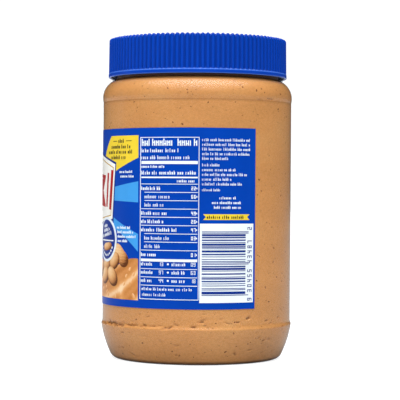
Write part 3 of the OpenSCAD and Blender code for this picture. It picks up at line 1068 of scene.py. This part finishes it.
# %% Bar code
box_left, box_right, box_low, box_high = 1.6, 29.7, 31.3, 70.0
code_left, code_right, guard_right, code_top, module = 2.7, 25.2, 26.9, 66.2, 0.33
white_ink.bar(box_left, box_right, box_low, box_high)


def code_modules(rng, marks):
    """The modules from one end to the other, 1 where there is ink. Between the guards stand the marks, seven
    modules each: a gap, a bar, a gap and a bar, whose widths are random and add up to seven."""
    guard, middle, half_code = [1, 0, 1], [0, 1, 0, 1, 0], []
    for _ in range(marks):
        cuts = np.sort(rng.choice(np.arange(1, 7), 3, replace=False))
        widths = np.diff([0, *cuts, 7])
        half_code += np.repeat([0, 1, 0, 1], widths).tolist()
    split = marks // 2 * 7
    return np.array(guard + half_code[:split] + middle + half_code[split:] + guard)


modules = code_modules(rng, 12)
guards = np.zeros(len(modules), bool)
guards[:3] = guards[45:50] = guards[-3:] = True
edges = np.flatnonzero(np.diff(np.concatenate([[0], modules, [0]])))
for start, end in zip(edges[::2], edges[1::2]):
    reach = guard_right if guards[start] else code_right
    navy_ink.bar(code_left, reach, code_top - end * module, code_top - start * module)
code_figure_u, code_figure_h = 28.8, 2.5
for z, count in ((32.2, 1), (36.4, 5), (50.6, 5), (67.0, 1)):
    numbers = rng.integers(0, 10, count)
    figures(navy_ink, numbers, (code_figure_u, z), code_figure_h, tilt=90.0, pitch=0.98, weight=0.14)
print("bar code", len(edges) // 2, "bars")

# %% [markdown]
# ## The front panel
# To the left the label turns away into its front panel: a big white shield with an arched top on the blue
# ground, a red ribbon across it, a yellow tag and pale blue rays beside it, a round badge at its corner,
# and along the foot peanuts and a swirl of spread. The shield, the ribbon and the rays are the same on
# both sides of the panel's middle, so they are functions of the distance from that middle.

# %% Shield
front_u, front_right = -94.0, -30.4
front_left = 2 * front_u - front_right


shield_half, shield_half_foot = 45.6, 42.8


def shield(ink, inset):
    """The space under z = 99 + 7 (1 - s^2) and over z = 72 - 3 (1 - s^2), s the share of the half width. The
    sides lean in towards the foot, so over the last millimetres the low curve climbs to the arch."""
    half_top, half_foot = shield_half - inset, shield_half_foot - inset
    p = np.unique(np.concatenate([np.linspace(-half_top, half_top, 72), [-half_foot, half_foot]]))
    s = np.abs(p) / half_top
    arch = 99 - inset + 7 * (1 - s ** 2)
    foot = 72 + inset - 3 * (1 - s ** 2)
    side = 72 + inset + (27 - 2 * inset) * (np.abs(p) - half_foot) / (half_top - half_foot)
    ink.patch(p, np.where(np.abs(p) > half_foot, side, foot), arch, place=(front_u, 0))


shield_edge = Ink("shield_edge", ink_finish("shield_edge_print", (0.006, 0.03, 0.22)), 3)
shield_paper = Ink("shield_paper", ink_finish("shield_paper_print", (0.92, 0.93, 0.90)), 4)
gold_ink = Ink("gold_ink", ink_finish("gold_print", (0.55, 0.36, 0.10)), 5)
cream_ink = Ink("cream_ink", ink_finish("cream_print", (0.90, 0.90, 0.86)), 6)
red_ink = Ink("red_ink", ink_finish("red_print", (0.42, 0.012, 0.015)), 7)
badge_white = Ink("badge_white", ink_finish("badge_white_print", (0.80, 0.86, 0.92)), 8)
shield(shield_edge, -0.9)
shield(shield_paper, 0.0)
shield(gold_ink, 1.5)
shield(cream_ink, 2.0)
print("shield from", front_u - shield_half, "to", front_u + shield_half)

# %% Red ribbon and slanted strokes
red_half, red_notch, red_z, red_h = 33.5, 5.0, 85.5, 8.0
p = np.linspace(-red_half, red_half, 60)
bow = 1.5 * (1 - (p / red_half) ** 2)
open_share = np.clip((np.abs(p) - (red_half - red_notch)) / red_notch, 0, 1)
red_ink.patch(p, red_z + bow + 7.0 * open_share, red_z + red_h + bow, place=(front_u, 0))
red_ink.patch(p, red_z - red_h + bow, red_z + bow - 7.0 * open_share, place=(front_u, 0))
inner = slice(6, -6)
badge_white.patch(p[inner], 91.2 + bow[inner], 91.8 + bow[inner], place=(front_u, 0))
slant, stroke_z = 7.0, 86.2
for across, half_wide, half_tall in ((36.6, 1.1, 8.6), (41.4, 1.3, 10.0)):
    for turned_way in (-1, 1):
        place = (front_u + turned_way * across, stroke_z)
        p, tall = np.linspace(-half_wide, half_wide, 5), np.full(5, half_tall)
        red_ink.patch(p, -tall, tall, place=place, tilt=-slant * turned_way, rows=10)
print("red ribbon", 2 * red_half, "mm long")

# %% Rays and tag
ray_p = np.linspace(-49.9, -30.9, 20)
for mirror_side in (False, True):
    p = 2 * front_u - ray_p[::-1] if mirror_side else ray_p
    share = np.linspace(1, 0, 20) if mirror_side else np.linspace(0, 1, 20)
    sky_ink.patch(p, 80.9 - 0.8 * share, 87.6 + 2.9 * share)
    sky_ink.patch(p, 67.0 - 11.2 * share + 1.6 * share * (1 - share) * 4, 72.4 - 7.9 * share)

tag_u = np.array([-62.0, -60.5, -57.0, -52.7, -48.3, -30.9])
tag_high = np.array([102.0, 105.0, 109.0, 113.2, 113.2, 113.2])
tag_low = np.array([101.9, 101.2, 99.6, 97.6, 95.5, 102.2])
p = np.unique(np.concatenate([np.linspace(tag_u[0], tag_u[-1], 24), tag_u]))
yellow_ink.patch(p, np.interp(p, tag_u, tag_low), np.interp(p, tag_u, tag_high))
tag_words = [(-45.6, -40.6, 109.6), (-52.6, -35.6, 106.8), (-56.0, -33.6, 104.2), (-52.6, -38.6, 101.5)]
for left, right, z in tag_words:
    words(dark_ink, rng, left, right, z, 2.0, weight=0.24, pitch=0.62)
for left, right in ((-50.6, -46.8), (-39.4, -35.4)):
    dark_ink.bar(left, right, 110.4, 110.7)
under_tag = [(-44.5, -34.3), (-43.7, -33.3)]
beside_badge = [(-46.4, -35.8), (-46.0, -33.4), (-45.8, -32.2), (-45.6, -37.6)]
paragraph(white_ink, rng, under_tag, 94.6, 2.2, 1.3, weight=0.24)
paragraph(white_ink, rng, beside_badge, 66.8, 2.2, 1.4, weight=0.26)
print("tag from", tag_u[0], "to", tag_u[-1])

# %% Badge
badge_u, badge_z, badge_r = -58.0, 61.2, 11.3
badge_navy = Ink("badge_navy", ink_finish("badge_print", (0.004, 0.03, 0.26)), 9)
badge_words = Ink("badge_words", ink_finish("badge_words_print", (0.85, 0.90, 0.94)), 10)
badge_edge, blocks_r, block_count = 1.3, 8.0, 9
badge_white.oval(badge_r, badge_r, (badge_u, badge_z), columns=40)
badge_navy.oval(badge_r - badge_edge, badge_r - badge_edge, (badge_u, badge_z), columns=36)
badge_lines = [(-62.0, -56.0, 67.0, 1.6), (-62.6, -52.8, 64.6, 1.7), (-65.5, -51.4, 61.8, 2.0)]
for left, right, z, height in badge_lines:
    words(badge_words, rng, left, right, z, height, tilt=8.0, weight=0.3)
badge_words.bar(-66.0, -49.6, 60.4, 61.0)
for block_turn in np.linspace(-150, -30, block_count):
    turn = math.radians(block_turn)
    centre = (badge_u + blocks_r * math.cos(turn), badge_z + blocks_r * math.sin(turn))
    badge_words.bar(-0.6, 0.6, -0.5, 0.5, place=centre, tilt=block_turn + 90)
print("badge", 2 * badge_r, "mm across")

# %% [markdown]
# ## Printed peanuts and swirl
# The pictures at the panel's foot look round because they are shaded. Each printed nut is an oval patch
# whose points carry a lightness: the dot product of a light direction with the normal of the egg that the
# oval would be the outline of. The swirl's lightness is a few slow sine waves across its width, and small
# crumbs of nut lie on it. One ramp turns the nuts' lightness into browns, and another the swirl's.

# %% Nuts
def shaded_finish(name, *stops):
    """A printed picture: the ramp of stops read at the piece's own lightness plus fine specks, which are
    noise from 0 to 1 times speck, less half of speck."""
    speck = 0.22
    material, shader = finish(name, Roughness=0.32, Specular_IOR_Level=0.08)
    light = add(material, "Attribute", {"attribute_name": "light"})
    speckle = noise(material, 900, 2.0)
    shift = add(material, "Math", {"operation": "MULTIPLY_ADD"})
    shift.inputs[1].default_value = speck
    lowered = add(material, "Math", {"operation": "SUBTRACT"})
    lowered.inputs[1].default_value = speck / 2
    wire(
        material, (speckle, shift.inputs[0]), (light.outputs["Fac"], shift.inputs[2]),
        (shift.outputs[0], lowered.inputs[0]),
        (ramp(material, lowered.outputs[0], *stops), shader.inputs["Base Color"]),
    )
    return material


nut_finish = shaded_finish(
    "nut_print", (0.05, (0.12, 0.035, 0.008)), (0.32, (0.48, 0.19, 0.055)),
    (0.62, (0.74, 0.39, 0.15)), (0.95, (0.90, 0.64, 0.36)),
)
nut_prints = [Ink(f"nut_print_{k}", nut_finish, 3 + k) for k in range(3)]


def nut(ink, half_p, half_q, place, tilt, waist=0.0, dimples=0.0):
    """A printed nut. Its lightness is n . l for the egg's normal n = (p / a, q / b, rest) and a light from
    the upper left, with a pattern of dimples on a nut in its shell."""
    turn = math.radians(tilt)
    light_p = -0.45 * math.cos(turn) + 0.55 * math.sin(turn)
    light_q = 0.45 * math.sin(turn) + 0.55 * math.cos(turn)

    def lightness(p, q):
        x, y = p / half_p, q / half_q
        rest = np.sqrt(np.clip(1 - x ** 2 - y ** 2, 0, 1))
        pattern = dimples * np.sin(p * 2.6) * np.sin(q * 3.1)
        return np.clip(0.12 + 0.85 * (0.9 * (light_p * x + light_q * y) + 0.62 * rest) + pattern, 0, 1)

    ink.oval(half_p, half_q, place, tilt, waist, columns=24, rows=10, value=lightness)


nut(nut_prints[0], 7.2, 4.6, (-43.3, 53.6), -42.0, waist=0.22, dimples=0.14)
nut(nut_prints[1], 5.2, 4.0, (-48.9, 50.6), 35.0)
nut(nut_prints[0], 5.4, 4.0, (-58.5, 48.6), 10.0)
nut(nut_prints[2], 5.9, 4.2, (-51.0, 42.8), -38.0)
nut(nut_prints[1], 5.6, 4.3, (-60.5, 43.0), 20.0)
badge_nut = Ink("badge_nut", nut_finish, 11)
nut(badge_nut, 5.6, 2.4, (-56.8, 57.6), 6.0, waist=0.18, dimples=0.1)
nut_rng = np.random.default_rng(5)
row_of_nuts, nut_pitch = 9, 6.8
for k in range(row_of_nuts):
    place = (-69.0 - nut_pitch * k, 44.5 + nut_rng.uniform(-2.5, 3.0))
    nut(nut_prints[k % 3], 5.6, 4.1, place, nut_rng.uniform(-60, 60), waist=0.2 if k % 4 == 1 else 0.0)
print("a row of", row_of_nuts, "nuts beside a heap of five")

# %% Swirl
swirl_finish = shaded_finish(
    "swirl_print", (0.0, (0.34, 0.10, 0.02)), (0.35, (0.58, 0.23, 0.06)),
    (0.7, (0.76, 0.37, 0.13)), (1.0, (0.93, 0.68, 0.42)),
)
swirl = Ink("swirl_print", swirl_finish, 2)
swirl_low, swirl_columns = 31.8, 150
swirl_p = np.linspace(front_left + 0.5, front_right - 0.3, swirl_columns)
crest = 4.5 * np.cos((swirl_p + 34.0) / 9.0) * np.exp(-((swirl_p + 36) / 22) ** 2)
swirl_top = 50.0 + crest + 2.5 * np.cos((swirl_p - front_u) / 16.0)


def swirl_light(p, q):
    """Lightness 0.52, plus two waves across lines that rise to the right, q - 0.55 p, and bend with p, plus
    one bright glint."""
    across = q - 0.55 * (p + 30) + 2.5 * np.sin(p / 9.0)
    fold = 0.24 * np.sin(across / 2.3) + 0.14 * np.sin(across / 1.05 + 1.0)
    glint = 0.35 * np.exp(-((p + 42.5) / 1.6) ** 2) * np.exp(-((q - 35) / 5.0) ** 2)
    return np.clip(0.52 + fold + glint, 0, 1)


swirl.patch(swirl_p, np.full(swirl_columns, swirl_low), swirl_top, rows=22, value=swirl_light)
crumbs = Ink("nut_crumbs", swirl_finish, 3)
low_crumbs = 34
for _ in range(low_crumbs):
    place = (nut_rng.uniform(front_left + 3, front_right - 2), nut_rng.uniform(33.0, 37.5))
    size = nut_rng.uniform(0.5, 1.0)
    tilt = nut_rng.uniform(-90, 90)
    crumbs.oval(1.5 * size, size, place, tilt, columns=10, value=lambda p, q: 0.7 + 0.25 * q / size)
high_crumbs = [(-36.0, 47.0), (-33.5, 44.5), (-38.5, 43.6), (-34.8, 41.0), (-40.3, 39.6)]
for place in high_crumbs:
    crumbs.oval(1.1, 0.7, place, 60.0, columns=10, value=lambda p, q: 0.75 + 0.3 * q)
print(low_crumbs + len(high_crumbs), "crumbs on the swirl")

# %% [markdown]
# ## The far panel
# The side that faces away holds one more column of small print between two rules, over a pale blue field
# with four dark lines on it. The foot of the label keeps its plain blue strip all the way round. Then
# every ink is made, one piece each.

# %% Far panel and the finished print
far_left, far_right = label_left / mm + 6.0, front_left - 5.0
far_lines, far_leading, field_lines, field_leading = 11, 3.3, 4, 3.8
words(white_ink, rng, far_left, far_right - 8.0, 107.0, 3.0, weight=0.24)
white_ink.bar(far_left, far_right, 104.2, 104.9)
for k in range(far_lines):
    words(white_ink, rng, far_left, far_right - rng.uniform(0, 9), 100.0 - far_leading * k, 1.8)
white_ink.bar(far_left, far_right, 63.4, 64.1)
sky_ink.bar(far_left, far_right, 40.0, 60.0)
for k in range(field_lines):
    right = far_right - 3.0 - rng.uniform(0, 8)
    words(dark_ink, rng, far_left + 3.0, right, 54.6 - field_leading * k, 2.0, weight=0.2)
inks = [
    white_ink, navy_ink, dark_ink, yellow_ink, sky_ink,
    shield_edge, shield_paper, gold_ink, cream_ink, red_ink,
    badge_white, badge_navy, badge_words, badge_nut, *nut_prints, swirl, crumbs,
]
for ink in inks:
    ink.build()
print(len(inks), "inks")

# %% [markdown]
# ## The studio
# The jar stands on a white floor in a soft room. Most of the light comes from the front and above, as from
# a big white sheet hung there: one smooth bump of brightness in the room's background. A wide lamp
# overhead adds light on the cap and the shoulder, and a narrow strip at the left draws a thin line of
# light down the wall. The floor glows, as a lit table does, a little more on the left, so that it stays
# white up to the horizon and lights the heel from below. The room and the floor look brighter to the
# camera than they shine on the jar, which keeps the jar's edges dark on a white ground.

# %% Floor
floor_finish, floor_shader = finish(
    "floor_finish", Base_Color=(0.3, 0.3, 0.3, 1), Roughness=0.9, Specular_IOR_Level=0.1,
    Emission_Color=(1, 1, 1, 1),
)
floor_place = add(floor_finish, "TexCoord")
floor_reach = add(floor_finish, "VectorMath", {"operation": "LENGTH"})
# Painted contact shadow: seen by the camera the floor is a little darker in a thin ring round the foot, and
# the glow it sends onto the jar fades to nothing near the foot.
floor_seen = add(floor_finish, "MapRange", From_Min=0.041, From_Max=0.045, To_Min=0.75, To_Max=1.0)
floor_sent = add(floor_finish, "MapRange", From_Min=0.042, From_Max=0.070, To_Min=0.0, To_Max=0.54)
floor_across = add(floor_finish, "SeparateXYZ")
floor_side = add(floor_finish, "MapRange", From_Min=-0.16, From_Max=0.05, To_Min=1.3, To_Max=0.9)
floor_light = add(floor_finish, "Math", {"operation": "MULTIPLY"})
floor_eye = add(floor_finish, "LightPath")
floor_glow = add(floor_finish, "MapRange")
wire(
    floor_finish,
    (floor_place.outputs["Object"], floor_reach.inputs[0]),
    (floor_reach.outputs["Value"], floor_seen.inputs["Value"]),
    (floor_reach.outputs["Value"], floor_sent.inputs["Value"]),
    (floor_eye.outputs["Is Camera Ray"], floor_glow.inputs["Value"]),
    (floor_place.outputs["Object"], floor_across.inputs[0]),
    (floor_across.outputs["X"], floor_side.inputs["Value"]),
    (floor_sent.outputs[0], floor_light.inputs[0]),
    (floor_side.outputs[0], floor_light.inputs[1]),
    (floor_light.outputs[0], floor_glow.inputs["To Min"]),
    (floor_seen.outputs[0], floor_glow.inputs["To Max"]),
    (floor_glow.outputs[0], floor_shader.inputs["Emission Strength"]),
)
half, floor_z = 6.0, -0.05 * mm
floor_corners = np.array([
    (-half, -half, floor_z), (half, -half, floor_z), (half, half, floor_z), (-half, half, floor_z),
])
floor = new_piece("floor", floor_corners, np.array([[0, 1, 2, 3]]), no_triangles, floor_finish)
print("floor ready")

# %% Room
world = bpy.data.worlds.new("room")
world.use_nodes = True
bpy.context.scene.world = world
room_nodes, room_links = world.node_tree.nodes, world.node_tree.links
room = room_nodes["Background"]
room.inputs["Color"].default_value = (1, 1, 1, 1)
# The key light is key_light times the cosine between a direction and the key's, to the key_power.
ambient, seen_by_camera, key_light, key_power, key_rise = 0.04, 1.1, 5.4, 8.0, 61.0


def room_math(operation, first, second):
    """The sum, product, power or larger of two outputs or numbers, as a node of the room's background."""
    node = room_nodes.new("ShaderNodeMath")
    node.operation = operation
    for socket, value in zip(node.inputs, (first, second)):
        if isinstance(value, (int, float)):
            socket.default_value = value
        else:
            room_links.new(value, socket)
    return node.outputs[0]


towards_key = room_nodes.new("ShaderNodeVectorMath")
towards_key.operation = "DOT_PRODUCT"
key_turn = math.radians(key_rise)
towards_key.inputs[1].default_value = (0, -math.cos(key_turn), math.sin(key_turn))
room_links.new(room_nodes.new("ShaderNodeTexCoord").outputs["Generated"], towards_key.inputs[0])
key_share = room_math("POWER", room_math("MAXIMUM", towards_key.outputs["Value"], 0.0), key_power)
glow = room_math("ADD", room_math("MULTIPLY", key_share, key_light), ambient)
eye = room_nodes.new("ShaderNodeLightPath")
level = room_nodes.new("ShaderNodeMix")
level.inputs["B"].default_value = seen_by_camera
room_links.new(eye.outputs["Is Camera Ray"], level.inputs["Factor"])
room_links.new(glow, level.inputs["A"])
room_links.new(level.outputs["Result"], room.inputs["Strength"])
print("room ready")

# %% Lamps
lamp_distance, jar_middle = 1.0, np.array([0, 0, 85 * mm])


def softbox(name, azimuth, elevation, width, height, power):
    """A flat white lamp that looks at the jar's middle, from azimuth degrees round from -Y to +X and from
    elevation degrees up."""
    a, e = math.radians(azimuth), math.radians(elevation)
    towards = np.array([math.sin(a) * math.cos(e), -math.cos(a) * math.cos(e), math.sin(e)])
    lamp = bpy.data.lights.new(name, "AREA")
    lamp.shape, lamp.size, lamp.size_y = "RECTANGLE", width, height
    lamp.energy = power
    holder = bpy.data.objects.new(name, lamp)
    facing = Matrix.Rotation(a, 4, "Z") @ Matrix.Rotation(math.pi / 2 - e, 4, "X")
    holder.matrix_world = Matrix.Translation(jar_middle + lamp_distance * towards) @ facing
    bpy.context.scene.collection.objects.link(holder)


softbox("top_lamp", 0, 78, 1.6, 0.6, 10.0)
softbox("strip_lamp", -104, 5, 0.04, 0.5, 0.15)
print("lamps ready")

# %% [markdown]
# ## Camera
# The jar is seen nearly straight on, from about half its height and from 0.8 metres away, with a long lens,
# so its rims look almost flat. The camera looks down by a third of a degree and is rolled by a little more.

# %% Camera
camera_place, look_down, roll = (1.643 * mm, -813.8 * mm, 85.57 * mm), 0.0053, 0.0067
camera_data = bpy.data.cameras.new("camera")
camera_data.lens, camera_data.sensor_width = 141.4, 36.0
camera = bpy.data.objects.new("camera", camera_data)
aimed = Matrix.Rotation(math.pi / 2 - look_down, 4, "X") @ Matrix.Rotation(roll, 4, "Z")
camera.matrix_world = Matrix.Translation(camera_place) @ aimed
bpy.context.scene.collection.objects.link(camera)
bpy.context.scene.camera = camera
bpy.context.scene.view_settings.view_transform = "Standard"
print("camera ready")
